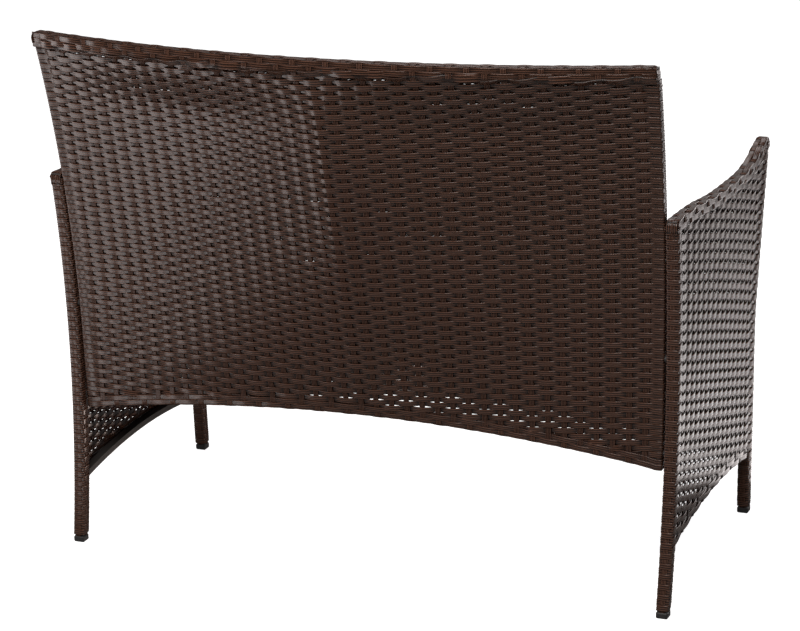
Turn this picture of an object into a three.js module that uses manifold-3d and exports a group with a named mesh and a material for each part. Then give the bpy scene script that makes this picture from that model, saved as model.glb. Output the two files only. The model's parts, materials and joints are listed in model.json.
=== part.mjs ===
// Rattan garden sofa for two: two side frames, a back frame and a seat frame of square
// steel tube, wound and filled with woven plastic rattan and bolted together.
// Millimetres. +Z is up and the sofa faces -Y. The origin is on the floor, under the
// middle of the whole sofa.

import * as THREE from 'three';
import { mergeVertices } from 'three/addons/utils/BufferGeometryUtils.js';
import Module from 'manifold-3d';

const wasm = await Module();
wasm.setup();

// Overall sizes
const footWidth = 1040;
const armWidth = 1060;
const backHeight = 881;
const overallDepth = 665;

// Tube, winding and weave
const tubeSize = 15;
const tubeWall = 1.2;
const wrapWall = 1.4;
const weaveThickness = 4;
const weaveBend = 3;
const fitGap = 0.3;
const cutOverrun = 5;

// Side frames: feet, legs, arm and arch
const footRearInset = 115;
const footSpread = 487;
const rearLegTopRun = 22;
const rearLegBow = 28;
const frontLegStraight = 320;
const frontLegBend = 65;
const armTipHeight = 643;
const armScoop = 30;
const sideArchRearHeight = 107;
const sideArchFrontHeight = 104;
const sideArchRise = 19;
const sideRailHeight = 10;

// Foot caps
const capWidth = 19.5;
const capHeight = 10;
const capChamfer = 1.5;
const capCorner = 3;
const capPlugLength = 18;

// Back frame
const backBottomHeight = 230;
const backBottomGap = 7.7;
const backArmGap = 2.4;
const backPostAhead = 2.1;
const backStraightTop = 360;
const backRecline = 73;
const backBowBand = 100;
const backArchRise = 38;
const backArchRailHeight = 12;

// Seat frame and apron
const seatHeight = 372;
const seatFrontSetback = 5;
const seatBarPitch = 250;
const apronEndHeight = 90;
const apronArchRise = 67;
const apronRailSize = 10;

// Fasteners
const boltDiameter = 5;
const boltHeadDiameter = 8.6;
const boltHeadHeight = 2.8;
const socketFlats = 3;
const socketDepth = 1.6;
const boltTail = 1.5;
const nutFlats = 8;
const nutHeight = 4;
const spacerDiameter = 11;
const backBoltSeatRise = 38;
const backBoltArmDrop = 73;
const seatBoltInsets = [120, 90];

// Finishes
const steel = { color: 0x24211f, roughness: 0.55, metalness: 0.3 };
const rattan = { color: 0x3d2d27, roughness: 0.5, metalness: 0 };
const plastic = { color: 0x151515, roughness: 0.6, metalness: 0 };
const zinc = { color: 0x8c8d8f, roughness: 0.4, metalness: 0.9 };

// Worked out from the sizes above
const frontY = -overallDepth / 2;
const rearY = overallDepth / 2;
const wound = tubeSize + 2 * (fitGap + wrapWall);
const woundBore = wound - 2 * wrapWall;
const tubeBore = tubeSize - 2 * tubeWall;
const footRearY = rearY - footRearInset;
const footFrontY = footRearY - footSpread;
const legX = footWidth / 2 - wound / 2;
const sideLean = (armWidth - footWidth) / 2 / armTipHeight;
const armMidHeight = armTipHeight - wound / 2;
const legBase = capHeight + fitGap;
const legTop = armTipHeight - wound;
const infillRail = wound - weaveThickness - fitGap;
const lowerBoltHeight = seatHeight + backBoltSeatRise;
const upperBoltHeight = armTipHeight - backBoltArmDrop;
const backBottomHalf = sideInnerX(backBottomHeight) - backBottomGap;
const backArmHalf = sideInnerX(armTipHeight) - backArmGap;
const backLean = (backArmHalf - backBottomHalf) / (armTipHeight - backBottomHeight);
const backBottomY = rearLegY(lowerBoltHeight) + wound / 2 - backPostAhead;
const backArchTop = backBottomHeight + backArchRise;
const backWeaveTop = backHeight - wound - fitGap;
const postLandShare = tubeSize / (2 * backBottomHalf);
const seatRailTop = seatHeight - weaveThickness - fitGap;
const seatRailBase = seatRailTop - tubeSize;
const seatRailMid = seatRailTop - tubeSize / 2;
const seatFrontY = footFrontY + seatFrontSetback;
const seatRearY = backBottomY - wound - fitGap;
const seatRailFrontY = seatFrontY + weaveThickness + fitGap;
const seatHalf = innermost(sideInnerX, seatRailBase, seatHeight) - fitGap;
const sides = [['left', 1], ['right', -1]];

const sofa = new THREE.Group();

function addPart(name, geometry, look) {
  const mesh = new THREE.Mesh(geometry, new THREE.MeshStandardMaterial(look));
  mesh.name = name;
  sofa.add(mesh);
}

// Joining and cutting closed geometries

function solid(geometry) {
  const bare = geometry.clone();
  bare.deleteAttribute('normal');
  bare.deleteAttribute('uv');
  const welded = mergeVertices(bare);
  return new wasm.Manifold(new wasm.Mesh({
    numProp: 3,
    vertProperties: new Float32Array(welded.attributes.position.array),
    triVerts: new Uint32Array(welded.index.array),
  }));
}

function fromSolid(body) {
  const mesh = body.getMesh();
  const geometry = new THREE.BufferGeometry();
  geometry.setAttribute('position', new THREE.BufferAttribute(mesh.vertProperties, 3));
  geometry.setIndex(new THREE.BufferAttribute(mesh.triVerts, 1));
  geometry.computeVertexNormals();
  return geometry;
}

function cut(geometry, tools) {
  return fromSolid(tools.reduce((body, tool) => body.subtract(solid(tool)), solid(geometry)));
}

function join(geometries) {
  const [first, ...others] = geometries.map(solid);
  return fromSolid(others.reduce((body, other) => body.add(other), first));
}

// Plain shapes

function box(low, high) {
  const size = high.map((v, i) => v - low[i]);
  const middle = high.map((v, i) => (v + low[i]) / 2);
  return new THREE.BoxGeometry(...size).translate(...middle);
}

// A straight square tube along one axis, open at both ends
function straightTube(axis, low, high) {
  const inset = [0, 1, 2].map((i) => (i === axis ? -cutOverrun : tubeWall));
  const bore = box(low.map((v, i) => v + inset[i]), high.map((v, i) => v - inset[i]));
  return cut(box(low, high), [bore]);
}

// A round or many-sided rod along X between two distances from the middle, on one side
function rod(side, radius, x0, x1, y, z, facets = 16) {
  const geometry = new THREE.CylinderGeometry(radius, radius, x1 - x0, facets);
  return geometry.rotateZ(Math.PI / 2).translate(side * (x0 + x1) / 2, y, z);
}

function extrude(shape, depth) {
  const geometry = new THREE.ExtrudeGeometry(shape, { depth, bevelEnabled: false });
  return geometry.translate(0, 0, -depth / 2);
}

// A side view, drawn in Y and Z, extruded along X
function extrudeX(shape, depth) {
  return extrude(shape, depth).rotateX(Math.PI / 2).rotateZ(Math.PI / 2);
}

// A front view, drawn in X and Z, extruded along Y
function extrudeY(shape, depth) {
  return extrude(shape, depth).rotateX(Math.PI / 2);
}

function sampled(steps, place) {
  return Array.from({ length: steps + 1 }, (_, i) => place(i / steps));
}

// The outline of a bent bar: a line thickened by half on each side. Its ends are cut
// square to the line, or level or upright where it meets such a plane.
function barShape(line, half, endCut = 'square') {
  const left = [];
  const right = [];
  line.forEach((point, i) => {
    const before = line[Math.max(i - 1, 0)];
    const after = line[Math.min(i + 1, line.length - 1)];
    const along = after.clone().sub(before).normalize();
    const normal = new THREE.Vector2(-along.y, along.x);
    const across = normal.clone();
    const isEnd = i === 0 || i === line.length - 1;
    if (isEnd && endCut === 'level') across.set(Math.sign(normal.x), 0);
    if (isEnd && endCut === 'upright') across.set(0, Math.sign(normal.y));
    across.multiplyScalar(half / across.dot(normal));
    left.push(point.clone().add(across));
    right.unshift(point.clone().sub(across));
  });
  return new THREE.Shape([...left, ...right]);
}

// A line made longer at both ends, or shorter where the length is below zero
function lengthened(line, length) {
  const [first, second] = line;
  const [last, previous] = [line[line.length - 1], line[line.length - 2]];
  const start = first.clone().add(first.clone().sub(second).setLength(Math.abs(length))
    .multiplyScalar(Math.sign(length)));
  const end = last.clone().add(last.clone().sub(previous).setLength(Math.abs(length))
    .multiplyScalar(Math.sign(length)));
  return [start, ...line.slice(1, -1), end];
}

// Moves a side view's extrusion out to its side, leaning further out as it rises
function leanOut(geometry, side, x, lean, base = 0) {
  const at = geometry.attributes.position;
  for (let i = 0; i < at.count; i += 1) {
    at.setX(i, at.getX(i) + side * (x + lean * (at.getZ(i) - base)));
  }
  return geometry;
}

function ontoSide(geometry, side) {
  return leanOut(geometry, side, legX, sideLean);
}

function sideInnerX(z) {
  return footWidth / 2 - wound + sideLean * z;
}

function backHalfWidth(z) {
  return backBottomHalf + backLean * (z - backBottomHeight);
}

// The least and the most of a leaning face's distance from the middle, between two heights
function innermost(face, z0, z1) {
  return Math.min(face(z0), face(z1));
}

function outermost(face, z0, z1) {
  return Math.max(face(z0), face(z1));
}

// Side frames

function rearLegY(z) {
  const share = z / armTipHeight;
  return footRearY - wound / 2 - rearLegTopRun * share - 4 * rearLegBow * share * (1 - share);
}

function frontLegY(z) {
  const rise = Math.max(z - frontLegStraight, 0);
  const fullRise = armTipHeight - frontLegStraight - frontLegBend / 2;
  const run = rise < frontLegBend ? rise * rise / (2 * frontLegBend) : rise - frontLegBend / 2;
  return footFrontY + wound / 2 - (footFrontY - frontY) * run / fullRise;
}

const armRearY = footRearY - rearLegTopRun;
const armLengthShares = [0, 0.22, 0.42, 0.6, 0.74, 0.85, 0.93, 1];
const armDropShares = [0.23, 0.42, 0.8, 0.96, 1, 0.76, 0.32, 0.05];

const armLine = new THREE.SplineCurve(armLengthShares.map((share, i) => new THREE.Vector2(
  armRearY + (frontY - armRearY) * share,
  armMidHeight - armScoop * armDropShares[i],
))).getPoints(21);

// The centre line of an upright. Tube, winding and cuts share one line, and so keep
// their clearance all along it.
function uprightLine(centre, z0, z1, steps) {
  return sampled(steps, (t) => {
    const z = z0 + (z1 - z0) * t;
    return new THREE.Vector2(centre(z), z);
  });
}

const frontLegLine = uprightLine(frontLegY, legBase, legTop, 12);
const rearLegLine = uprightLine(rearLegY, legBase, legTop, 12);

function uprightBar(line, size, extra) {
  return extrudeX(barShape(lengthened(line, extra), size / 2, 'level'), size);
}

function armBar(size, extra) {
  return extrudeX(barShape(lengthened(armLine, extra), size / 2, 'upright'), size);
}

// The space of the wound legs and arm, with a gap, for what stops clear of them
function woundSpace() {
  const size = wound + 2 * fitGap;
  return [
    uprightBar(rearLegLine, size, fitGap),
    uprightBar(frontLegLine, size, fitGap),
    armBar(size, fitGap),
  ];
}

function legTube(line) {
  const bore = uprightBar(line, tubeBore, cutOverrun);
  const arm = armBar(tubeSize + 2 * fitGap, fitGap);
  return cut(uprightBar(line, tubeSize, 0), [bore, arm]);
}

function armTube() {
  return cut(armBar(tubeSize, -wrapWall - fitGap), [armBar(tubeBore, cutOverrun)]);
}

function sideWinding() {
  const skin = join([
    uprightBar(rearLegLine, wound, 0),
    uprightBar(frontLegLine, wound, 0),
    armBar(wound, 0),
  ]);
  return cut(skin, [
    uprightBar(rearLegLine, woundBore, cutOverrun),
    uprightBar(frontLegLine, woundBore, cutOverrun),
    armBar(woundBore, -wrapWall),
  ]);
}

// Height of the arched lower edge of a side
function sideArchHeight(y) {
  const rear = rearLegY(sideArchRearHeight) - wound / 2;
  const front = frontLegY(sideArchFrontHeight) + wound / 2;
  const share = (rear - y) / (rear - front);
  const chord = sideArchRearHeight + (sideArchFrontHeight - sideArchRearHeight) * share;
  return chord + 4 * sideArchRise * share * (1 - share);
}

function sideArchLine(rise) {
  const y0 = rearLegY(sideArchRearHeight);
  const y1 = frontLegY(sideArchFrontHeight);
  return sampled(12, (t) => {
    const y = y0 + (y1 - y0) * t;
    return new THREE.Vector2(y, sideArchHeight(y) + rise);
  });
}

const sideSeatRailLine = [rearLegY, frontLegY].map((centre) => (
  new THREE.Vector2(centre(seatRailMid), seatRailMid)
));

// A rail of a side frame, inside its weave, from leg to leg
function sideRail(side, line, height) {
  const outer = extrudeX(barShape(line, height / 2), infillRail);
  const bore = extrudeX(barShape(line, height / 2 - tubeWall), infillRail - 2 * tubeWall);
  const rail = cut(outer, [bore, ...woundSpace()]);
  return rail.translate(side * (infillRail - wound) / 2, 0, 0);
}

function sideWeave(side) {
  const arch = sideArchLine(0);
  const frontEdge = frontLegLine.filter((p) => p.y > sideArchFrontHeight);
  const rearEdge = rearLegLine.filter((p) => p.y > sideArchRearHeight).reverse();
  const armEdge = armLine.filter((p) => p.x > frontLegY(legTop) && p.x < rearLegY(legTop));
  const outline = new THREE.Shape([...arch, ...frontEdge, ...armEdge.reverse(), ...rearEdge]);
  const sheet = cut(extrudeX(outline, weaveThickness), woundSpace());
  return sheet.translate(side * (wound - weaveThickness) / 2, 0, 0);
}

function footCap(centre) {
  const inner = capWidth / 2 - capCorner;
  const outline = new THREE.Shape();
  [[1, 1], [-1, 1], [-1, -1], [1, -1]].forEach(([x, y], i) => {
    const start = i * Math.PI / 2;
    outline.absarc(inner * x, inner * y, capCorner, start, start + Math.PI / 2);
  });
  const flange = new THREE.ExtrudeGeometry(outline, {
    depth: capHeight - 2 * capChamfer,
    bevelThickness: capChamfer,
    bevelSize: capChamfer,
    bevelOffset: -capChamfer,
    bevelSegments: 1,
    curveSegments: 3,
  });
  flange.translate(0, centre(capHeight / 2), capChamfer);
  const plugLine = uprightLine(centre, capHeight / 2, capHeight + capPlugLength, 1);
  const plugSize = tubeBore - 2 * fitGap;
  return join([flange, extrudeX(barShape(plugLine, plugSize / 2, 'level'), plugSize)]);
}

// Back frame: the side posts bend back, the top rail bows back, the middle post is straight

const postMeetY = rearLegY(upperBoltHeight) + wound / 2;
const postMeetRise = upperBoltHeight - backStraightTop;
const postMeetSlope = 2 * (postMeetY - backBottomY) / postMeetRise;
const postTopRise = backHeight - upperBoltHeight;
const postTopBend = backBottomY + backRecline - postMeetY - postMeetSlope * postTopRise;

// Rear face of a side post. It stands straight at first, then bends back to meet the rear
// leg at the upper bolt, and bends on from there to the top rail.
function sidePostY(z) {
  const bend = Math.max(z - backStraightTop, 0) / postMeetRise;
  const above = z - upperBoltHeight;
  if (above < 0) return backBottomY + (postMeetY - backBottomY) * bend * bend;
  return postMeetY + postMeetSlope * above + postTopBend * (above / postTopRise) ** 2;
}

function middlePostY(z) {
  const share = Math.max(z - backArchTop, 0) / (backHeight - backArchTop);
  return backBottomY + (rearY - backBottomY) * share;
}

// Rear face of the back, at a share of its half width and a height. The weave runs
// straight from post to post, and takes up the bow of the top rail as it nears it.
function backY(share, z) {
  const height = Math.max(z, backArchTop);
  const bowShare = THREE.MathUtils.smoothstep(height, backWeaveTop - backBowBand, backWeaveTop);
  const out = Math.max(Math.abs(share) - postLandShare, 0) / (1 - postLandShare);
  const reach = THREE.MathUtils.lerp(1 - out, 1 - out * out, bowShare);
  return sidePostY(z) + (middlePostY(z) - sidePostY(z)) * reach;
}

const backTopHalf = backHalfWidth(backHeight);
const backRailMid = backHeight - wound / 2;
const sidePostMid = (z) => sidePostY(z) - wound / 2;
const sidePostLine = uprightLine(sidePostMid, backBottomHeight, backRailMid, 12);

function sidePostBar(side, size, extra) {
  const bar = uprightBar(sidePostLine, size, extra);
  return leanOut(bar, side, backBottomHalf - wound / 2, backLean, backBottomHeight);
}

function topRailBar(size, inset) {
  const half = backTopHalf - inset;
  const line = sampled(18, (t) => {
    const x = half * (2 * t - 1);
    return new THREE.Vector2(x, backY(x / backTopHalf, backHeight) - wound / 2);
  });
  const bar = extrude(barShape(line, size / 2, 'upright'), size);
  return bar.translate(0, 0, backRailMid);
}

function backWinding() {
  const skin = join([
    sidePostBar(1, wound, 0),
    sidePostBar(-1, wound, 0),
    topRailBar(wound, 0),
  ]);
  return cut(skin, [
    sidePostBar(1, woundBore, cutOverrun),
    sidePostBar(-1, woundBore, cutOverrun),
    topRailBar(woundBore, wrapWall),
  ]);
}

function sidePostTube(side) {
  const rail = topRailBar(tubeSize + 2 * fitGap, 0);
  return cut(sidePostBar(side, tubeSize, 0), [sidePostBar(side, tubeBore, cutOverrun), rail]);
}

function topRailTube() {
  const inset = wrapWall + fitGap;
  return cut(topRailBar(tubeSize, inset), [topRailBar(tubeBore, inset - cutOverrun)]);
}

// A rail between the side posts, in front of the weave, along a line of the front view
function backRail(centreHeight, height, steps) {
  const full = backHalfWidth(centreHeight(1));
  const half = full - wound / 2;
  const line = sampled(steps, (t) => {
    const x = half * (2 * t - 1);
    return new THREE.Vector2(x, centreHeight(x / full));
  });
  const postSpace = [1, -1].map((side) => sidePostBar(side, wound + 2 * fitGap, cutOverrun));
  const outer = extrudeY(barShape(line, height / 2), infillRail);
  const bore = extrudeY(barShape(line, height / 2 - tubeWall), infillRail - 2 * tubeWall);
  const y = backBottomY - weaveThickness - fitGap - infillRail / 2;
  return cut(outer.translate(0, y, 0), [bore.translate(0, y, 0), ...postSpace]);
}

function backArchHeight(share) {
  return backBottomHeight + backArchRise * (1 - share * share);
}

function middlePost() {
  const slope = (rearY - backBottomY) / (backHeight - backArchTop);
  const halfAcross = tubeSize / 2 * Math.hypot(1, slope);
  const centre = (z) => middlePostY(z) - weaveThickness - fitGap - halfAcross;
  const base = backArchTop + backArchRailHeight + fitGap;
  const line = uprightLine(centre, base, backWeaveTop, 1);
  return cut(uprightBar(line, tubeSize, 0), [uprightBar(line, tubeBore, cutOverrun)]);
}

// A closed sheet between its rear face and a front face one thickness ahead
function closedSheet(columns, rows, place) {
  const positions = [];
  for (const ahead of [0, weaveThickness]) {
    for (const row of rows) {
      for (const column of columns) {
        const [x, y, z] = place(column, row);
        positions.push(x, y - ahead, z);
      }
    }
  }
  const across = columns.length;
  const face = across * rows.length;
  const index = [];
  const quad = (a, b, c, d) => index.push(a, b, c, a, c, d);
  for (let j = 0; j < rows.length - 1; j += 1) {
    for (let i = 0; i < across - 1; i += 1) {
      const a = j * across + i;
      quad(a, a + across, a + across + 1, a + 1);
      quad(face + a, face + a + 1, face + a + across + 1, face + a + across);
    }
    const left = j * across;
    const right = left + across - 1;
    quad(left, face + left, face + left + across, left + across);
    quad(right, right + across, face + right + across, face + right);
  }
  for (let i = 0; i < across - 1; i += 1) {
    const high = (rows.length - 1) * across + i;
    quad(i, i + 1, face + i + 1, face + i);
    quad(high, face + high, face + high + 1, high + 1);
  }
  const geometry = new THREE.BufferGeometry();
  geometry.setAttribute('position', new THREE.Float32BufferAttribute(positions, 3));
  geometry.setIndex(index);
  geometry.computeVertexNormals();
  return geometry;
}

function backWeave() {
  const half = sampled(9, (t) => postLandShare + (1 - postLandShare) * t);
  const columns = [...half.map((share) => -share).reverse(), ...half];
  return closedSheet(columns, sampled(14, (t) => t), (column, row) => {
    const low = backArchHeight(column);
    const z = low + (backWeaveTop - low) * row;
    const edge = (backHalfWidth(z) - wound - fitGap) / backHalfWidth(z);
    const share = Math.abs(column) > postLandShare ? column * edge : column;
    return [share * backHalfWidth(z), backY(share, z), z];
  });
}

// Seat frame and apron

const seatBarStartY = seatRailFrontY + tubeSize + fitGap;
const seatBarEndY = seatRearY - tubeSize - fitGap;

function seatBar(x) {
  return straightTube(
    1,
    [x - tubeSize / 2, seatBarStartY, seatRailBase],
    [x + tubeSize / 2, seatBarEndY, seatRailTop],
  );
}

function seatCrossRail(y) {
  return straightTube(0, [-seatHalf, y, seatRailBase], [seatHalf, y + tubeSize, seatRailTop]);
}

const weaveMid = seatHeight - weaveThickness / 2;
const curlY = seatFrontY + weaveThickness / 2 + weaveBend;

// The seat weave turns down over the front rail
function seatWeave() {
  const curl = sampled(6, (t) => new THREE.Vector2(
    curlY - weaveBend * Math.sin(t * Math.PI / 2),
    weaveMid - weaveBend * (1 - Math.cos(t * Math.PI / 2)),
  ));
  const line = [new THREE.Vector2(seatRearY, weaveMid), ...curl];
  return extrudeX(barShape(line, weaveThickness / 2), 2 * seatHalf);
}

const apronHalf = sideInnerX(apronEndHeight) - fitGap;

function apronArchHeight(share) {
  return apronEndHeight + apronArchRise * (1 - share * share);
}

function apronWeave() {
  const top = weaveMid - weaveBend - fitGap;
  const arch = sampled(16, (t) => new THREE.Vector2(
    apronHalf * (2 * t - 1),
    apronArchHeight(2 * t - 1),
  ));
  const topHalf = sideInnerX(top) - fitGap;
  const outline = new THREE.Shape([
    ...arch,
    new THREE.Vector2(topHalf, top),
    new THREE.Vector2(-topHalf, top),
  ]);
  return extrudeY(outline, weaveThickness).translate(0, seatFrontY + weaveThickness / 2, 0);
}

function apronPost(side) {
  const low = [-tubeSize / 2, seatRailFrontY, apronEndHeight];
  const high = [tubeSize / 2, seatRailFrontY + apronRailSize, seatRailBase - fitGap];
  return leanOut(straightTube(2, low, high), side, legX - wound / 2 - fitGap - tubeSize / 2, sideLean);
}

function apronRail() {
  const inner = innermost(sideInnerX, apronEndHeight, apronEndHeight + 2 * apronRailSize);
  const half = inner - tubeSize - 2 * fitGap;
  const bar = (size, extra) => {
    const line = sampled(16, (t) => {
      const x = (half + extra) * (2 * t - 1);
      return new THREE.Vector2(x, apronArchHeight(x / apronHalf) + apronRailSize / 2);
    });
    return extrudeY(barShape(line, size / 2, 'upright'), size);
  };
  const rail = cut(bar(apronRailSize, 0), [bar(apronRailSize - 2 * tubeWall, cutOverrun)]);
  return rail.translate(0, seatRailFrontY + apronRailSize / 2, 0);
}

// Bolts, nuts and spacers, all along X

const holeRadius = boltDiameter / 2 + fitGap;
const nutRadius = nutFlats / Math.sqrt(3);
const seatBoltYs = [seatFrontY + seatBoltInsets[0], seatRearY - seatBoltInsets[1]];

const headRadius = boltHeadDiameter / 2;

const backBolts = [lowerBoltHeight, upperBoltHeight].map((z) => ({
  y: rearLegY(z),
  z,
  headX: innermost(backHalfWidth, z - headRadius, z + headRadius) - wound - fitGap,
  nutX: outermost(sideInnerX, z - nutRadius, z + nutRadius) + wrapWall + tubeWall + 2 * fitGap,
}));

const seatBolts = seatBoltYs.map((y) => ({
  y,
  z: seatRailMid,
  headX: seatHalf - tubeSize - fitGap,
  nutX: outermost(sideInnerX, seatRailMid - nutRadius, seatRailMid + nutRadius) + tubeWall + fitGap,
}));

function bolt(side, { y, z, headX, nutX }) {
  const shank = rod(side, boltDiameter / 2, headX - boltHeadHeight / 2, nutX + nutHeight + boltTail, y, z);
  const head = rod(side, headRadius, headX - boltHeadHeight, headX, y, z, 20);
  const socketRadius = socketFlats / Math.sqrt(3);
  const headTop = headX - boltHeadHeight;
  const socket = rod(side, socketRadius, headTop - cutOverrun, headTop + socketDepth, y, z, 6);
  return cut(join([shank, head]), [socket]);
}

function hole(side, { y, z }) {
  return rod(side, holeRadius, 0, sideInnerX(z) + wound / 2, y, z);
}

function nut(side, { y, z, nutX }) {
  const body = rod(side, nutRadius, nutX, nutX + nutHeight, y, z, 6);
  return cut(body, [hole(side, { y, z })]);
}

function spacer(side, { y, z }) {
  const radius = spacerDiameter / 2;
  const x0 = outermost(backHalfWidth, z - radius, z + radius) + fitGap;
  const x1 = innermost(sideInnerX, z - radius, z + radius) - fitGap;
  return cut(rod(side, radius, x0, x1, y, z, 20), [hole(side, { y, z })]);
}

// The sofa

for (const [name, side] of sides) {
  const backHoles = backBolts.map((place) => hole(side, place));
  const seatHoles = seatBolts.map((place) => hole(side, place));
  const seatRail = ontoSide(sideRail(side, sideSeatRailLine, tubeSize), side);
  const archRail = sideRail(side, sideArchLine(sideRailHeight / 2), sideRailHeight);
  addPart(`${name}_front_leg`, ontoSide(legTube(frontLegLine), side), steel);
  addPart(`${name}_rear_leg`, cut(ontoSide(legTube(rearLegLine), side), backHoles), steel);
  addPart(`${name}_arm_rail`, ontoSide(armTube(), side), steel);
  addPart(`${name}_arch_rail`, ontoSide(archRail, side), steel);
  addPart(`${name}_seat_support_rail`, cut(seatRail, seatHoles), steel);
  addPart(`${name}_frame_winding`, cut(ontoSide(sideWinding(), side), backHoles), rattan);
  addPart(`${name}_side_weave`, ontoSide(sideWeave(side), side), rattan);
  addPart(`${name}_front_foot_cap`, ontoSide(footCap(frontLegY), side), plastic);
  addPart(`${name}_rear_foot_cap`, ontoSide(footCap(rearLegY), side), plastic);
  addPart(`back_${name}_post`, cut(sidePostTube(side), backHoles), steel);
  const seatEnd = seatBar(side * (seatHalf - tubeSize / 2));
  addPart(`seat_${name}_rail`, cut(seatEnd, seatHoles), steel);
  addPart(`apron_${name}_post`, apronPost(side), steel);
  backBolts.forEach((place, i) => {
    addPart(`${name}_back_bolt_${i + 1}`, bolt(side, place), zinc);
    addPart(`${name}_back_nut_${i + 1}`, nut(side, place), zinc);
    addPart(`${name}_back_spacer_${i + 1}`, spacer(side, place), plastic);
  });
  seatBolts.forEach((place, i) => {
    addPart(`${name}_seat_bolt_${i + 1}`, bolt(side, place), zinc);
    addPart(`${name}_seat_nut_${i + 1}`, nut(side, place), zinc);
  });
}

const allBackHoles = sides.flatMap(([, side]) => backBolts.map((place) => hole(side, place)));
const backArchMid = (share) => backArchHeight(share) + backArchRailHeight / 2;
addPart('back_top_rail', topRailTube(), steel);
addPart('back_middle_post', middlePost(), steel);
addPart('back_arch_rail', backRail(backArchMid, backArchRailHeight, 16), steel);
addPart('back_seat_rail', backRail(() => seatRailMid, tubeSize, 1), steel);
addPart('back_winding', cut(backWinding(), allBackHoles), rattan);
addPart('back_weave', backWeave(), rattan);
addPart('seat_front_rail', seatCrossRail(seatRailFrontY), steel);
addPart('seat_rear_rail', seatCrossRail(seatRearY - tubeSize), steel);
[-1, 0, 1].forEach((place, i) => {
  addPart(`seat_cross_bar_${i + 1}`, seatBar(place * seatBarPitch), steel);
});
addPart('seat_weave', seatWeave(), rattan);
addPart('apron_weave', apronWeave(), rattan);
addPart('apron_arch_rail', apronRail(), steel);

export default sofa;
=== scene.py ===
"""Rattan garden sofa: the woven plastic strands round its steel frame, and every finish."""

import json
import math

import bpy
import numpy as np
from mathutils import Matrix


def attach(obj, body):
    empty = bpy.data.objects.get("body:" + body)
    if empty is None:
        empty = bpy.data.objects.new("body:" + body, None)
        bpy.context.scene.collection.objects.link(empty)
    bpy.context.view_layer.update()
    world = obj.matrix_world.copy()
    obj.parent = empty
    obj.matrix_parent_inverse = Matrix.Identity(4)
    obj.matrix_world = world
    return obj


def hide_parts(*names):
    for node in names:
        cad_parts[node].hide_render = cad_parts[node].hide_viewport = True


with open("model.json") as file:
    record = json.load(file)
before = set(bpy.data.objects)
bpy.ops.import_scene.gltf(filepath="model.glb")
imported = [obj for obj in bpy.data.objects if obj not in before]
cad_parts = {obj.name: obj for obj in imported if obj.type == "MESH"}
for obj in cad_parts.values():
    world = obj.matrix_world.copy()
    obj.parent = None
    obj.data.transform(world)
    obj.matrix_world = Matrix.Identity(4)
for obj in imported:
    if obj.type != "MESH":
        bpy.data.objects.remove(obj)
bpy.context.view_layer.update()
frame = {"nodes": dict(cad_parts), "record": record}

# Sizes of the wound frame that the strands follow, in metres
FOOT_WIDTH = 1.040
ARM_WIDTH = 1.060
BACK_HEIGHT = 0.881
DEPTH = 0.665
WOUND = 0.0184
FOOT_REAR_INSET = 0.115
FOOT_SPREAD = 0.487
REAR_LEG_TOP_RUN = 0.022
REAR_LEG_BOW = 0.028
FRONT_LEG_STRAIGHT = 0.320
FRONT_LEG_BEND = 0.065
ARM_TIP = 0.643
ARM_SCOOP = 0.030
ARM_LENGTH_SHARES = (0, 0.22, 0.42, 0.6, 0.74, 0.85, 0.93, 1)
ARM_DROP_SHARES = (0.23, 0.42, 0.8, 0.96, 1, 0.76, 0.32, 0.05)
SIDE_ARCH_REAR = 0.107
SIDE_ARCH_FRONT = 0.104
SIDE_ARCH_RISE = 0.019
LEG_BASE = 0.0103
BACK_BOTTOM = 0.230
BACK_BOTTOM_GAP = 0.0077
BACK_ARM_GAP = 0.0024
BACK_POST_AHEAD = 0.0021
BACK_STRAIGHT_TOP = 0.360
BACK_RECLINE = 0.073
BACK_BOW_BAND = 0.100
BACK_ARCH_RISE = 0.038
TUBE = 0.015
FIT_GAP = 0.0003
SEAT_HEIGHT = 0.372
SEAT_SETBACK = 0.005
BOLT_SEAT_RISE = 0.038
BOLT_ARM_DROP = 0.073
APRON_END = 0.090
APRON_RISE = 0.067

# The woven strands
ROW_PITCH = 0.00812
STRAND_WIDTH = 0.0101
STRAND_THICKNESS = 0.0011
STAKE_WIDTH = 0.0096
STAKE_THICKNESS = 0.0010
STRIP_WIDTH = 0.0092
STRIP_THICKNESS = 0.0008
STRAND_RIBS = 3
STAKE_RIBS = 4
RIB_HEIGHT = 0.00060
STRIP_RIB_HEIGHT = 0.00040
SMOOTH_SHARE = 0.55
EDGE_DROP = 0.0003
WAVE = 0.00140
SIDE_WAVE = 0.0018
WRAP_WAVE = 0.0009
WRAP_HALF = 0.0090
WRAP_RADIUS = 0.0018
LEG_HALF = 0.0097
POST_SWELL = 0.0016
END_ROUND = 0.009
SINK = 0.0020
ARCH_LAP = 0.0006
BACK_STAKES = 36
BACK_STAKE_SHARE = 0.946
SIDE_STAKES = 16
SEED = 41

# Worked out from the sizes above
FRONT_Y = -DEPTH / 2
REAR_Y = DEPTH / 2
FOOT_REAR_Y = REAR_Y - FOOT_REAR_INSET
FOOT_FRONT_Y = FOOT_REAR_Y - FOOT_SPREAD
LEG_X = FOOT_WIDTH / 2 - WOUND / 2
SIDE_LEAN = (ARM_WIDTH - FOOT_WIDTH) / 2 / ARM_TIP
ARM_REAR_Y = FOOT_REAR_Y - REAR_LEG_TOP_RUN
ARM_MID = ARM_TIP - WOUND / 2
LEG_TOP = ARM_TIP - WOUND
FACE_FLAT = WRAP_HALF - WRAP_RADIUS
FACE_PITCH = 2 * FACE_FLAT + WRAP_RADIUS * math.pi / 2
WRAP_PITCH = FACE_PITCH / 2
LEG_PITCH = 2 * (LEG_HALF - WRAP_RADIUS) + WRAP_RADIUS * math.pi / 2

random = np.random.default_rng(SEED)


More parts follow.
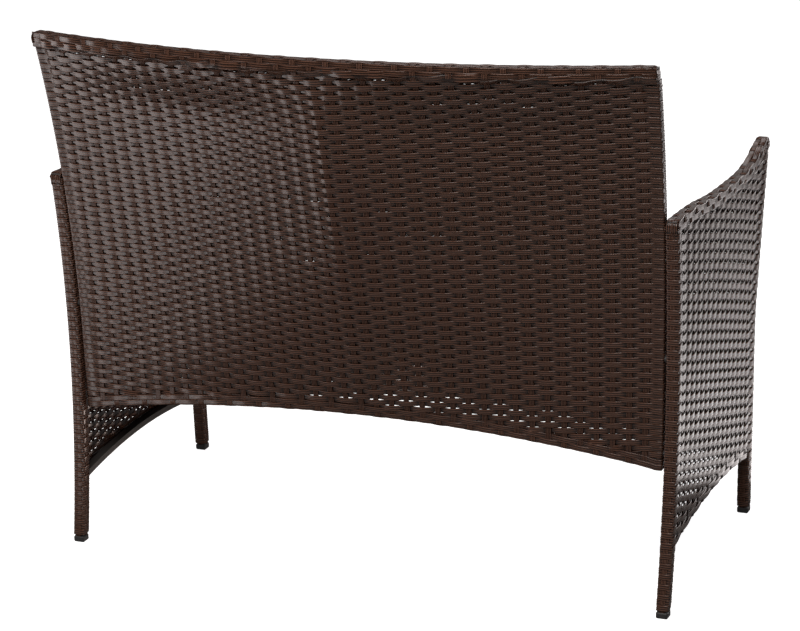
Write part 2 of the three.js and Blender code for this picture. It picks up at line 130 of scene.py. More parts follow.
def smoothstep(low, high, value):
    t = np.clip((value - low) / (high - low), 0, 1)
    return t * t * (3 - 2 * t)


def lerp(a, b, t):
    return a + (b - a) * t


def unit(vectors):
    length = np.linalg.norm(vectors, axis=-1, keepdims=True)
    return vectors / np.maximum(length, 1e-12)


join = np.concatenate


def points(x, y, z):
    return np.stack(np.broadcast_arrays(x, y, z), axis=-1).astype(float)


def distances(path):
    """Distance of each point of a path from its start, along it."""
    return join([[0], np.cumsum(np.linalg.norm(np.diff(path, axis=0), axis=1))])


def rounding(distance):
    """How much a rounded end falls short of the full section, by the distance from it."""
    short = np.clip(END_ROUND - distance, 0, END_ROUND)
    return END_ROUND - np.sqrt(END_ROUND**2 - short**2)


# Steps of the quarter turn at a rounded end
QUARTER = np.linspace(0, math.pi / 2, 5)[1:]


# Shape of the frame


def rear_leg_y(z):
    share = z / ARM_TIP
    bow = 4 * REAR_LEG_BOW * share * (1 - share)
    return FOOT_REAR_Y - WOUND / 2 - REAR_LEG_TOP_RUN * share - bow


def front_leg_y(z):
    rise = np.maximum(z - FRONT_LEG_STRAIGHT, 0)
    full_rise = ARM_TIP - FRONT_LEG_STRAIGHT - FRONT_LEG_BEND / 2
    bent = rise**2 / (2 * FRONT_LEG_BEND)
    run = np.where(rise < FRONT_LEG_BEND, bent, rise - FRONT_LEG_BEND / 2)
    return FOOT_FRONT_Y + WOUND / 2 - (FOOT_FRONT_Y - FRONT_Y) * run / full_rise


def side_inner_x(z):
    return FOOT_WIDTH / 2 - WOUND + SIDE_LEAN * z


def between_legs(z, share):
    """Place in depth at height z, at a share of the way from the front leg to the rear."""
    return lerp(front_leg_y(z), rear_leg_y(z), share)


def spline(knots, steps):
    """A smooth curve through the knots, as many points as steps + 1."""
    last = len(knots) - 1
    t = np.linspace(0, last, steps + 1)
    i = np.minimum(t.astype(int), last - 1)
    f = (t - i)[:, None]
    p0 = knots[np.maximum(i - 1, 0)]
    p1 = knots[i]
    p2 = knots[i + 1]
    p3 = knots[np.minimum(i + 2, last)]
    v0 = (p2 - p0) / 2
    v1 = (p3 - p1) / 2
    cubic = 2 * p1 - 2 * p2 + v0 + v1
    square = -3 * p1 + 3 * p2 - 2 * v0 - v1
    return cubic * f**3 + square * f**2 + v0 * f + p1


ARM_KNOTS = np.stack([
    ARM_REAR_Y + (FRONT_Y - ARM_REAR_Y) * np.array(ARM_LENGTH_SHARES),
    ARM_MID - ARM_SCOOP * np.array(ARM_DROP_SHARES),
], axis=1)
ARM_STEPS = 140
ARM_LINE = spline(ARM_KNOTS, ARM_STEPS)
ARM_REAR_Z = ARM_LINE[0, 1]
ARM_FRONT_Z = ARM_LINE[-1, 1]
ARM_LENGTH = distances(ARM_LINE)


def arm_z(y):
    """Height of the arm's centre line at a place along the sofa's depth."""
    return np.interp(y, ARM_LINE[::-1, 0], ARM_LINE[::-1, 1])


def side_arch_z(y):
    rear = rear_leg_y(SIDE_ARCH_REAR) - WOUND / 2
    front = front_leg_y(SIDE_ARCH_FRONT) + WOUND / 2
    share = (rear - y) / (rear - front)
    chord = SIDE_ARCH_REAR + (SIDE_ARCH_FRONT - SIDE_ARCH_REAR) * share
    return chord + 4 * SIDE_ARCH_RISE * share * (1 - share)


LOWER_BOLT = SEAT_HEIGHT + BOLT_SEAT_RISE
UPPER_BOLT = ARM_TIP - BOLT_ARM_DROP
BACK_BOTTOM_HALF = side_inner_x(BACK_BOTTOM) - BACK_BOTTOM_GAP
BACK_LEAN = (side_inner_x(ARM_TIP) - BACK_ARM_GAP - BACK_BOTTOM_HALF) / (ARM_TIP - BACK_BOTTOM)
BACK_BOTTOM_Y = rear_leg_y(LOWER_BOLT) + WOUND / 2 - BACK_POST_AHEAD
BACK_ARCH_TOP = BACK_BOTTOM + BACK_ARCH_RISE
BACK_WEAVE_TOP = BACK_HEIGHT - WOUND - FIT_GAP
POST_LAND_SHARE = TUBE / (2 * BACK_BOTTOM_HALF)
MEET_Y = rear_leg_y(UPPER_BOLT) + WOUND / 2
MEET_RISE = UPPER_BOLT - BACK_STRAIGHT_TOP
MEET_SLOPE = 2 * (MEET_Y - BACK_BOTTOM_Y) / MEET_RISE
TOP_RISE = BACK_HEIGHT - UPPER_BOLT
TOP_BEND = BACK_BOTTOM_Y + BACK_RECLINE - MEET_Y - MEET_SLOPE * TOP_RISE
BACK_RAIL_Z = BACK_HEIGHT - WOUND / 2


def back_half(z):
    return BACK_BOTTOM_HALF + BACK_LEAN * (z - BACK_BOTTOM)


def side_post_y(z):
    bend = np.maximum(z - BACK_STRAIGHT_TOP, 0) / MEET_RISE
    above = z - UPPER_BOLT
    low = BACK_BOTTOM_Y + (MEET_Y - BACK_BOTTOM_Y) * bend**2
    high = MEET_Y + MEET_SLOPE * above + TOP_BEND * (above / TOP_RISE)**2
    return np.where(above < 0, low, high)


def middle_post_y(z):
    share = np.maximum(z - BACK_ARCH_TOP, 0) / (BACK_HEIGHT - BACK_ARCH_TOP)
    return BACK_BOTTOM_Y + (REAR_Y - BACK_BOTTOM_Y) * share


def back_y(share, z):
    """Rear face of the back at a share of its half width and a height."""
    height = np.maximum(z, BACK_ARCH_TOP)
    bow = smoothstep(BACK_WEAVE_TOP - BACK_BOW_BAND, BACK_WEAVE_TOP, height)
    out = np.clip((np.abs(share) - POST_LAND_SHARE) / (1 - POST_LAND_SHARE), 0, 1)
    reach = lerp(1 - out, 1 - out**2, bow)
    return side_post_y(z) + (middle_post_y(z) - side_post_y(z)) * reach


def back_arch_z(share):
    return BACK_BOTTOM + BACK_ARCH_RISE * (1 - share**2)


SEAT_FRONT_Y = FOOT_FRONT_Y + SEAT_SETBACK
SEAT_REAR_Y = BACK_BOTTOM_Y - WOUND - FIT_GAP


def round_square(s, half=WRAP_HALF, radius=WRAP_RADIUS):
    """A point round a square with round corners, at a distance s from the middle of its
    first face. The first face looks along n, and s grows towards t."""
    flat = half - radius
    pitch = 2 * flat + radius * math.pi / 2
    face = np.floor(s / pitch + 0.5)
    along = s - face * pitch
    angle = np.maximum(np.abs(along) - flat, 0) / radius
    out = half - radius * (1 - np.cos(angle))
    across = np.sign(along) * (np.minimum(np.abs(along), flat) + radius * np.sin(angle))
    turn = face * math.pi / 2
    return out * np.cos(turn) - across * np.sin(turn), out * np.sin(turn) + across * np.cos(turn)


# Ribbons


def profile(ribs, width, thickness, rib):
    """Closed section of a strand: ribbed outside, smooth inside. Columns are the place
    across, from -1 to 1, the distance across, and the height."""
    ridge = np.linspace(-1, 1, 2 * ribs + 1)
    outside = []
    for i, a in enumerate(ridge):
        if i in (0, 2 * ribs):
            outside.append((a, -EDGE_DROP * thickness / STRAND_THICKNESS))
        elif i % 2:
            outside.append((a, thickness / 2))
        else:
            outside.append((a, thickness / 2 - rib))
    inside = [(SMOOTH_SHARE, -thickness / 2), (-SMOOTH_SHARE, -thickness / 2)]
    return np.array([(a, a * width / 2, h) for a, h in outside + inside])


WEFT = profile(STRAND_RIBS, STRAND_WIDTH, STRAND_THICKNESS, RIB_HEIGHT)
STAKE = profile(STAKE_RIBS, STAKE_WIDTH, STAKE_THICKNESS, RIB_HEIGHT)
STRIP = profile(STAKE_RIBS, STRIP_WIDTH, STRIP_THICKNESS, STRIP_RIB_HEIGHT)


def alternate(row):
    """Which way a row starts over the stakes: 1 for an odd row, -1 for an even one."""
    return 1 if row % 2 else -1


def over_under(k):
    """Place of a row between the stakes: flat over and under each one, steep between."""
    wave = np.cos(math.pi * k)
    return wave * (1.5 - 0.5 * wave**2)


def weave_shade(offset, middle=0.35, span=1.6 * WAVE):
    """Painted shade of a strand, from 0 to 1, by its offset: the lower it lies between the others,
    the darker its colour is painted.
    """
    return np.clip(middle - offset / span, 0, 1)


def wrap_shade(turn, sign, darkest_shade=0.92):
    """The same painted shade for a row round a leg, darkest where it dips under the strip on every
    second face.
    """
    return darkest_shade * np.maximum(-sign * np.cos(math.pi * turn), 0)


class Strands:
    """Collects ribbons, then makes one piece of them."""

    def __init__(self):
        self.verts = []
        self.marks = []
        self.shade_depths = []
        self.faces = []
        self.count = 0

    def add(self, path, ups, section, offset=0.0, depth=None, spread=1.0):
        """A ribbon along path. ups point across it, along the woven surface. offset
        lifts it out of that surface, spread widens or narrows it, and the painted shade,
        from 0 to 1, darkens its colour where it lies low between the others."""
        steps = len(path)
        if depth is None:
            depth = weave_shade(np.broadcast_to(offset, steps))
        tangent = unit(np.gradient(path, axis=0))
        normal = unit(np.cross(tangent, ups))
        across = unit(np.cross(normal, tangent))
        lifted = path + normal * np.reshape(offset, (-1, 1))
        tangent = unit(np.gradient(lifted, axis=0))
        normal = unit(np.cross(tangent, across))
        sides = len(section)
        ring = (lifted[:, None, :]
                + across[:, None, :] * section[None, :, 1, None] * np.reshape(spread, (-1, 1, 1))
                + normal[:, None, :] * section[None, :, 2, None])
        marks = np.empty((steps, sides, 3))
        marks[..., 0] = distances(lifted)[:, None]
        marks[..., 1] = section[None, :, 0]
        marks[..., 2] = random.random()
        self.shade_depths.append(np.repeat(np.broadcast_to(depth, steps), sides))
        self.verts.append(ring.reshape(-1, 3))
        self.marks.append(marks.reshape(-1, 3))
        i = np.arange(steps - 1)[:, None] * sides
        j = np.arange(sides)[None, :]
        k = (j + 1) % sides
        quads = np.stack([i + j, i + k, i + sides + k, i + sides + j], axis=-1)
        self.faces.extend((quads.reshape(-1, 4) + self.count).tolist())
        self.faces.append((np.arange(sides)[::-1] + self.count).tolist())
        self.faces.append((np.arange(sides) + (steps - 1) * sides + self.count).tolist())
        self.count += steps * sides

    def build(self, name, material, *nodes):
        """Makes the piece, which takes the place of the named solids."""
        mesh = bpy.data.meshes.new(name)
        verts = join(self.verts)
        mesh.from_pydata(verts.tolist(), [], self.faces)
        marks = mesh.attributes.new("strand", "FLOAT_VECTOR", "POINT")
        marks.data.foreach_set("vector", join(self.marks).astype(np.float32).ravel())
        # Painted shade per point, from 0 to 1, that the rattan materials darken the colour by
        shade_depths = mesh.attributes.new("depth", "FLOAT", "POINT")
        shade_depths.data.foreach_set("value", join(self.shade_depths).astype(np.float32))
        mesh.polygons.foreach_set("use_smooth", np.ones(len(mesh.polygons), bool))
        mesh.materials.append(material)
        piece = bpy.data.objects.new(name, mesh)
        bpy.context.scene.collection.objects.link(piece)
        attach(piece, "root")
        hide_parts(*nodes)
        return piece


def surface_row(surface, k, v, epsilon=1e-4):
    """Points of a woven surface along a row, and the way across the row."""
    return surface(k, v), surface(k, v + epsilon) - surface(k, v - epsilon)


def surface_stake(surface, k, v, epsilon=1e-3):
    """Points of a woven surface along a stake, and the way across the stake."""
    return surface(k, v), surface(k - epsilon, v) - surface(k + epsilon, v)


def runs(k, room, shortest=3):
    """Stretches of k where room is not below zero, cut at the exact crossing."""
    inside = room >= 0
    stretches = []
    start = None
    for i, good in enumerate(inside):
        if good and start is None:
            start = i
        if start is not None and (not good or i == len(k) - 1):
            stop = i if good else i - 1
            part = list(k[start:stop + 1])
            if start > 0:
                t = room[start - 1] / (room[start - 1] - room[start])
                part.insert(0, lerp(k[start - 1], k[start], t))
            if not good:
                t = room[stop] / (room[stop] - room[stop + 1])
                part.append(lerp(k[stop], k[stop + 1], t))
            stretches.append(np.array(part))
            start = None
    return [part for part in stretches if len(part) >= shortest]


PANEL_STEPS = np.array([0, 0.25, 0.5, 0.75])
FACE_STEPS = np.array([0, 0.38, 0.5, 0.62])
WOBBLE_STEPS = 8


def fractions(first, last, steps=FACE_STEPS):
    """The counts from first up to last, each with its steps."""
    return (np.arange(first, last)[:, None] + steps).ravel()


def stations(first, last, low_wrap, high_wrap):
    """Places along a row, in stake counts: quarters in the panel, and the corners where
    the row turns round a leg or a post before first and after last."""
    panel = fractions(first, last, PANEL_STEPS)
    after = fractions(0, math.ceil(high_wrap))
    before = fractions(0, math.ceil(low_wrap))
    after = last + after[after <= high_wrap]
    before = first - before[(before <= low_wrap) & (before > 0)][::-1]
    return join([before, panel, after])


def wobble(count, size):
    """Small smooth unevenness along a row."""
    knots = random.normal(0, size, max(count // WOBBLE_STEPS, 2) + 2)
    return np.interp(np.linspace(0, len(knots) - 1, count), np.arange(len(knots)), knots)


def lengthened(head, path, tail, head_up, ups, tail_up, offset):
    """A strand with more points at both ends, where it lies flat."""
    ups = join([np.repeat(head_up, len(head), 0), ups, np.repeat(tail_up, len(tail), 0)])
    offset = join([np.zeros(len(head)), offset, np.zeros(len(tail))])
    return join([head, path, tail]), ups, offset


# The side frames

# A pair gives both ends of a gradual change, in metres or in stake counts
SIDE_BLEND = (0.006, 0.018)
WAVE_STAKES = (0.25, 0.75)
PANEL_STAKES = (0.2, 0.5)
SIDE_TUCK_ROOM = (0.0065, 0.0045)
SIDE_TUCK = -0.0011
SIDE_SPREAD = 1.11
SIDE_LOW_SPREAD = 0.18
SIDE_LOW_HEIGHTS = (0.275, 0.215)
SIDE_UNEVEN = 0.00018
SIDE_WIDTH_UNEVEN = 0.02
SIDE_WRAP = 3.2
LEG_STAKES = 0.36
LEG_CORNER = 0.5
ARCH_ROOM = WRAP_PITCH * 1.2
ARM_LAP = 0.0062
TIP_ROOM = 0.001
ROW_TOP = ARM_TIP - WRAP_PITCH / 2


def round_leg(turn):
    return round_square(turn * LEG_PITCH, half=LEG_HALF)


def side_surface(k, z):
    """Middle surface of a side's weave, for the left side. k counts the stakes from the
    front leg's middle to the rear leg's; beyond them it counts the faces round a leg."""
    k, z = np.broadcast_arrays(k, z)
    front, rear = front_leg_y(z), rear_leg_y(z)
    front_n, front_t = round_leg(np.maximum(-k, 0))
    rear_n, rear_t = round_leg(np.maximum(k - SIDE_STAKES, 0))
    front_t = np.minimum(front_t, LEG_HALF - rounding(ARM_FRONT_Z + WOUND / 2 - z))
    rear_t = np.minimum(rear_t, LEG_HALF - rounding(ARM_REAR_Z + WOUND / 2 - z))
    share = np.clip(k / SIDE_STAKES, 0, 1)
    y = lerp(front, rear, share)
    edge = np.minimum(share, 1 - share) * (rear - front)
    out = LEG_HALF - (SINK - WOUND / 2 + LEG_HALF) * smoothstep(*SIDE_BLEND, edge)
    out = np.where(k < 0, front_n, np.where(k > SIDE_STAKES, rear_n, out))
    y = np.where(k < 0, front - front_t, np.where(k > SIDE_STAKES, rear + rear_t, y))
    return points(LEG_X + SIDE_LEAN * z + out, y, z)


def side_wave(k):
    edge = np.minimum(k, SIDE_STAKES - k)
    return over_under(k) * lerp(WRAP_WAVE, SIDE_WAVE, smoothstep(*WAVE_STAKES, edge))


def side_room(k, z):
    """How far a row at height z is inside the panel's edges, or on a leg."""
    y = side_surface(k, z)[:, 1]
    low = side_arch_z(y) + ARCH_ROOM
    high = arm_z(y) - WOUND / 2 + ARM_LAP
    on_leg = (k < LEG_STAKES) | (k > SIDE_STAKES - LEG_STAKES)
    low = np.where(on_leg, LEG_BASE, low)
    high = np.where(k < -LEG_CORNER, ARM_FRONT_Z - TIP_ROOM, high)
    high = np.where(k > SIDE_STAKES + LEG_CORNER, ARM_REAR_Z - TIP_ROOM, high)
    return np.minimum(z - low, high - z)


def add_mirrored(strands, side, path, ups, section, offset=0.0, depth=None, spread=1.0):
    """Adds a ribbon made for the left side to either side, outside still outside."""
    path, ups = path * (side, 1, 1), ups * (side, 1, 1)
    if side < 0:
        path, ups = path[::-1], ups[::-1]
        offset, depth, spread = (
            value[::-1] if isinstance(value, np.ndarray) else value
            for value in (offset, depth, spread)
        )
    strands.add(path, ups, section, offset, depth, spread)


def side_rows(side, strands, rings):
    """Rows that run round the front leg, along the panel and round the rear leg, and
    the rings round the legs below the arch."""
    ring_room = 0.002
    count = int((ROW_TOP - LEG_BASE) / ROW_PITCH)
    for row in range(count):
        height = ROW_TOP - (row + 0.5) * ROW_PITCH
        sign = alternate(row)
        if height < SIDE_ARCH_FRONT + ring_room:
            for leg_y in (front_leg_y, rear_leg_y):
                leg_ring(side, rings, leg_y, height, sign)
            continue
        k = stations(0, SIDE_STAKES, SIDE_WRAP, SIDE_WRAP)
        z = height + wobble(len(k), SIDE_UNEVEN)
        room = side_room(k, z)
        for part in runs(k, room):
            z_part = np.interp(part, k, z)
            path, ups = surface_row(side_surface, part, z_part)
            on_panel = smoothstep(*PANEL_STAKES, np.minimum(part, SIDE_STAKES - part))
            tucked = smoothstep(*SIDE_TUCK_ROOM, np.interp(part, k, room)) * on_panel
            offset = lerp(sign * side_wave(part), SIDE_TUCK, tucked)
            spread = SIDE_SPREAD + wobble(len(part), SIDE_WIDTH_UNEVEN)
            low = smoothstep(*SIDE_LOW_HEIGHTS, z_part)
            spread = spread - SIDE_LOW_SPREAD * low * on_panel
            depth = lerp(wrap_shade(part, sign), weave_shade(offset), on_panel)
            add_mirrored(strands, side, path, ups, WEFT, offset, depth, spread)


def leg_ring(side, rings, leg_y, height, sign):
    """One turn of strand round a leg."""
    end = 2.2
    turn = np.append(fractions(-2, 2), end)
    n, t = round_leg(turn)
    path = points(LEG_X + SIDE_LEAN * height + n, leg_y(height) + t, height)
    rise = 0.001
    up = points(SIDE_LEAN * rise, leg_y(height + rise) - leg_y(height), rise)
    ups = np.broadcast_to(up, path.shape)
    offset = sign * WRAP_WAVE * np.cos(math.pi * turn)
    add_mirrored(rings, side, path, ups, WEFT, offset, wrap_shade(turn, sign))


STRIP_GAP = 0.001
STRIP_STEPS = 40
# Painted shade of the strips on the legs, from 0 to 1
STRIP_SHADE = 0.3


def leg_strips(side, strands):
    """Upright strips that the rows pass over and under on each face of a leg. The one
    below an end of the arm goes up to the arm's middle."""
    step = 0.05
    for leg_y, high_face, high_top in ((front_leg_y, 3, ARM_FRONT_Z), (rear_leg_y, 1, ARM_REAR_Z)):
        for face in range(4):
            top = high_top if face == high_face else LEG_TOP - STRIP_GAP
            z = np.linspace(LEG_BASE, top, STRIP_STEPS)
            n, t = round_leg(face)
            next_n, next_t = round_leg(face + step)
            path = points(LEG_X + SIDE_LEAN * z + n, leg_y(z) + t, z)
            ups = np.broadcast_to(points(next_n - n, next_t - t, 0), path.shape)
            add_mirrored(strands, side, path, -ups, STRIP, depth=STRIP_SHADE)


# Turns are counted in faces from the middle of the arm's outer face, over the top
ARM_STAKE_TURN = join([[-0.45], fractions(0, 3), [3.0, 3.3]])
ARM_FULL_TURN = join([fractions(0, 4), [4.0, 4.1]]) - 0.9
ARM_TURN_ENDS = (0.009, 0.008)
# Painted shade of the turns round the arm, from 0 to 1
ARM_TURN_SHADE = 0.2
TURN_STEP = 0.02
SLOPE_REACH = 0.006
TIP_SHARES = (-0.15, 0.45)
CROSSING_HEIGHT = 0.62


def arm_place(y):
    """Distance along the arm's centre line, from its rear end, of a place in depth."""
    return np.interp(-y, -ARM_LINE[:, 0], ARM_LENGTH)


def arm_surface(s, turn):
    """Surface of the wound arm of the left side, at a distance s along the arm."""
    s, turn = np.broadcast_arrays(s, turn)
    y, z = (np.interp(s, ARM_LENGTH, line) for line in ARM_LINE.T)
    slope_y, slope_z = (
        np.interp(s + SLOPE_REACH, ARM_LENGTH, line) - np.interp(s - SLOPE_REACH, ARM_LENGTH, line)
        for line in ARM_LINE.T
    )
    length = np.hypot(slope_y, slope_z)
    normal_y, normal_z = slope_z / length, -slope_y / length
    n, t = round_square(turn * FACE_PITCH)
    full = 1 - rounding(np.minimum(s, ARM_LENGTH[-1] - s)) / END_ROUND
    t = np.where(t > 0, t * full, t)
    high = z + normal_z * t
    return points(LEG_X + SIDE_LEAN * high + n, y + normal_y * t, high)


def arm_turn(s, turn):
    """Points of a strand round the arm, and the way across the strand."""
    step = 0.002
    return arm_surface(s, turn), arm_surface(s - step, turn) - arm_surface(s + step, turn)


def arm_crossings():
    """Distances along the arm of the stakes and turns that cross it, from the rear."""
    shares = join([TIP_SHARES, np.arange(1, SIDE_STAKES + 1)]) / SIDE_STAKES
    return arm_place(between_legs(CROSSING_HEIGHT, shares))[::-1]


def arm_turns(side, strands):
    """Turns round the arm where no stake of the panel comes up."""
    rear_end, front_end = ARM_TURN_ENDS
    for s in arm_crossings()[[0, -2, -1]]:
        s = min(max(s, rear_end), ARM_LENGTH[-1] - front_end)
        path, across = arm_turn(s, ARM_FULL_TURN)
        add_mirrored(strands, side, path, -across, STAKE, depth=ARM_TURN_SHADE)


SEARCH_ROUNDS = 6
ARM_GUESS_HEIGHT = 0.6
ARCH_GUESS_HEIGHT = 0.12
STAKE_BELOW_ARCH = 0.0005
STAKE_BELOW_ARM = 0.001
SIDE_STAKE_STEPS = 26
# Painted shade of a side's stakes: darker in the panel, lighter where they go over the arm
SIDE_STAKE_SHADE = 0.78
ARM_STAKE_SHADE = 0.15


def side_stakes(side, strands):
    """Upright stakes of the panel. Each goes on round the arm."""
    for k in range(1, SIDE_STAKES):
        share = k / SIDE_STAKES
        y = between_legs(ARM_GUESS_HEIGHT, share)
        for _ in range(SEARCH_ROUNDS):
            top = arm_z(y) - WOUND / 2
            y = between_legs(top, share)
        base = side_arch_z(between_legs(ARCH_GUESS_HEIGHT, share))
        z = np.linspace(base - STAKE_BELOW_ARCH, top - STAKE_BELOW_ARM, SIDE_STAKE_STEPS)
        path, ups = surface_stake(side_surface, k, z)
        over, across = arm_turn(arm_place(y), ARM_STAKE_TURN)
        depth = np.repeat([SIDE_STAKE_SHADE, ARM_STAKE_SHADE], [len(path), len(over)])
        path = join([path, over])
        ups = join([unit(ups), unit(across)])
        add_mirrored(strands, side, path, -ups, STAKE, depth=depth)


ARM_ROWS = 8
ARM_EDGE_ROWS = (1, 4)
ARM_TOP_ROWS = (2, 3)
ARM_ROW_STEPS = 4 * SIDE_STAKES + 14
ARM_ROW_GAP = 0.0005
ARM_LIFT = 0.0001
ARM_WAVE = 0.0012
NARROWEST = 0.4


def arm_rows(side, strands):
    """Strands along the arm, over and under the stakes that come up from the panel."""
    crossings = arm_crossings()
    full = ARM_LENGTH[-1]
    s = np.linspace(ARM_ROW_GAP, full - ARM_ROW_GAP, ARM_ROW_STEPS)
    k = np.interp(s, crossings, np.arange(len(crossings)))
    for row in range(ARM_ROWS):
        turn = 0.5 * row - 0.25
        path = arm_surface(s, turn)
        ups = path - arm_surface(s, turn + TURN_STEP)
        offset = ARM_LIFT + alternate(row) * ARM_WAVE * np.cos(math.pi * k)
        spread = np.ones(1)
        if row in ARM_EDGE_ROWS:
            spread = np.maximum(1 - rounding(np.minimum(s, full - s)) / END_ROUND, NARROWEST)
        if row in ARM_TOP_ROWS:
            path, ups, offset = with_arm_ends(path, ups, offset)
        depth = weave_shade(offset, middle=0.3, span=0.002)
        add_mirrored(strands, side, path[::-1], -ups[::-1], WEFT, offset[::-1], depth[::-1],
                     spread[::-1])


# How the strands go down over the arm's ends
TIP_GAP = 0.0002
TIP_LIFT = 0.0008
TIP_DROPS = np.array([0.003, 0.006, 0.010])
TIP_RUNS = np.array([0.0003, 0.0008, 0.0020])
REAR_DROPS = np.array([0.009, 0.006, 0.003])
REAR_RUNS = np.array([0.0008, 0.0008, 0])


def with_arm_ends(path, ups, offset):
    """Lengthens a strand on top of the arm, down over both of its ends."""
    bend = END_ROUND
    rear_y = ARM_REAR_Y - WOUND / 2 + WRAP_HALF
    rear_up = ups[:1]
    keep = (path[:, 1] > FRONT_Y + bend) & (path[:, 1] < rear_y - bend)
    path, ups, offset = path[keep], ups[keep], offset[keep]
    start, end = path[0], path[-1]
    arc_y = FRONT_Y + TIP_GAP + bend - bend * np.sin(QUARTER)
    arc_z = end[2] - bend + bend * np.cos(QUARTER) + TIP_LIFT
    tail_y = join([arc_y, arc_y[-1] + TIP_RUNS])
    tail_z = join([arc_z, arc_z[-1] - TIP_DROPS])
    low_z = start[2] - bend
    head_y = join([rear_y - REAR_RUNS, rear_y - bend + bend * np.sin(QUARTER[::-1])])
    head_z = join([low_z - REAR_DROPS, low_z + bend * np.cos(QUARTER[::-1])])
    head = points(start[0], head_y, head_z)
    tail = points(end[0], tail_y, tail_z)
    return lengthened(head, path, tail, rear_up, ups, ups[-1:], offset)


BORDER_IN = 0.002
BORDER_STEPS = 60
BORDER_STAKES = 0.35
BORDER_RISES = (0.0036, 0.0108)


def side_border(side, strands):
    """Strands along the arched lower edge of a side."""
    front = front_leg_y(SIDE_ARCH_FRONT) + WOUND / 2 - BORDER_IN
    rear = rear_leg_y(SIDE_ARCH_REAR) - WOUND / 2 + BORDER_IN
    y = np.linspace(front, rear, BORDER_STEPS)
    k = np.interp(y, [front, rear], [BORDER_STAKES, SIDE_STAKES - BORDER_STAKES])
    for row, rise in enumerate(BORDER_RISES):
        z = side_arch_z(y) + rise
        out = WOUND / 2 - SINK
        path = points(LEG_X + SIDE_LEAN * z + out, y, z)
        ups = np.broadcast_to((SIDE_LEAN, 0, 1), path.shape)
        offset = alternate(row) * WRAP_WAVE * np.cos(math.pi * k)
        add_mirrored(strands, side, path, ups, WEFT, offset)


# The back

BACK_ENDS = 3.0
SWELL_HEIGHTS = (0.42, 0.28)
LOW_BLEND = (0.016, 0.004)
TOP_BLEND = (-0.009, 0.001)
POST_WAVE = 0.0004
POST_STAKES = (-0.9, -0.3)


def stake_share(k):
    """Share of the half width at which a stake of the back or the seat stands."""
    return (1 - 2 * k / BACK_STAKES) * BACK_STAKE_SHARE


def back_low(share):
    """Height of the middle of the back's wrapped lower edge."""
    return back_arch_z(share) + WRAP_HALF - ARCH_LAP


def back_surface(k, v):
    """Middle surface of the back's weave. k counts the stakes from +X; one count beyond
    the outer stakes is the post's middle, and then it counts the faces round the post.
    v is the height, and runs on round the top rail, and round the edge under the arch."""
    k, v = np.broadcast_arrays(np.asarray(k, float), v)
    z = np.minimum(v, BACK_RAIL_Z)
    half = back_half(z)
    post = half - WOUND / 2
    inner = half * BACK_STAKE_SHARE
    beyond = np.clip(-k, 0, 1) - np.clip(k - BACK_STAKES, 0, 1)
    x = inner * (1 - 2 * np.clip(k, 0, BACK_STAKES) / BACK_STAKES) + (post - inner) * beyond
    turn = np.maximum(-1 - k, 0) + np.maximum(k - BACK_STAKES - 1, 0)
    way = np.where(k < BACK_STAKES / 2, 1, -1)
    n, t = round_square(turn * FACE_PITCH)
    t = np.minimum(t, WRAP_HALF - rounding(BACK_HEIGHT - v))
    t = t + POST_SWELL * smoothstep(*SWELL_HEIGHTS, v) * np.clip(t / WRAP_HALF, 0, 1)
    x = np.where(turn > 0, way * (post + t), x)
    share = np.clip(x / half, -1, 1)
    flush = WOUND / 2 - WRAP_HALF
    arch = back_low(share)
    low = smoothstep(*LOW_BLEND, v - arch)
    panel = back_y(share, z) - lerp(SINK, flush, low)
    on_post = side_post_y(z) - flush
    panel = lerp(panel, on_post, smoothstep(0, 1, np.abs(beyond)))
    top = smoothstep(*TOP_BLEND, v - BACK_WEAVE_TOP)
    rail = back_y(share, BACK_HEIGHT) - flush
    y = lerp(panel, rail, top) + np.where(turn > 0, n - WRAP_HALF, 0)
    over_n, over_t = round_square(np.maximum(v - BACK_RAIL_Z, 0))
    y = np.where(v > BACK_RAIL_Z, rail - WRAP_HALF + over_n, y)
    z = np.where(v > BACK_RAIL_Z, BACK_RAIL_Z + over_t, z)
    under_n, under_t = round_square(np.maximum(arch - v, 0))
    y = np.where(v < arch, y - WRAP_HALF + under_n, y)
    z = np.where(v < arch, arch - under_t, z)
    return points(x, y, z)


def back_wave(k):
    edge = np.minimum(k, BACK_STAKES - k)
    return over_under(k) * lerp(POST_WAVE, WAVE, smoothstep(*POST_STAKES, edge))


ROW_DROP = 0.003
ROW_CLIMB = 0.0157
ROW_CLIMB_MORE = 0.0235
KNEE_RISE = 0.085
OPEN_MIDDLE = 0.61
OPEN_STRETCH = 0.15
OPEN_STRETCH_REACH = 0.53
OPEN_NARROWER = 0.035
OPEN_NARROWER_REACH = 0.49
OPEN_RISES = (0.062, 0.045)


def row_rise(k):
    """The rows climb slowly towards -X, as on a panel woven by hand."""
    run = np.clip(k, 0, BACK_STAKES) / BACK_STAKES
    return ROW_CLIMB * run + ROW_CLIMB_MORE * run**2


def openness(k, reach):
    """1 where the low rows stand open, falling to 0 beyond their reach."""
    return np.exp(-((k - OPEN_MIDDLE * BACK_STAKES) / (reach * BACK_STAKES))**6)


def back_row_height(row, k):
    """Height of a row of the back. The lowest rows stand a little wider apart."""
    level = BACK_WEAVE_TOP - ROW_DROP - (row + 0.5) * ROW_PITCH + row_rise(k)
    share = np.clip(1 - 2 * k / BACK_STAKES, -1, 1)
    knee = back_arch_z(share) + KNEE_RISE
    stretch = 1 + OPEN_STRETCH * openness(k, OPEN_STRETCH_REACH)
    return np.where(level < knee, knee - (knee - level) * stretch, level)


BACK_UNEVEN = 0.00022
BACK_WIDTH_UNEVEN = 0.022
BACK_LOW_LAP = 0.0025
BACK_TOP_LAP = 0.0058
BACK_TUCK_ROOM = (0.0040, 0.0015)
BACK_TUCK = -0.0009
BACK_SPREADS = ((0.14, (0.64, 0.74)), (0.16, (0.836, 0.847)))
UPPER_ROWS = 38


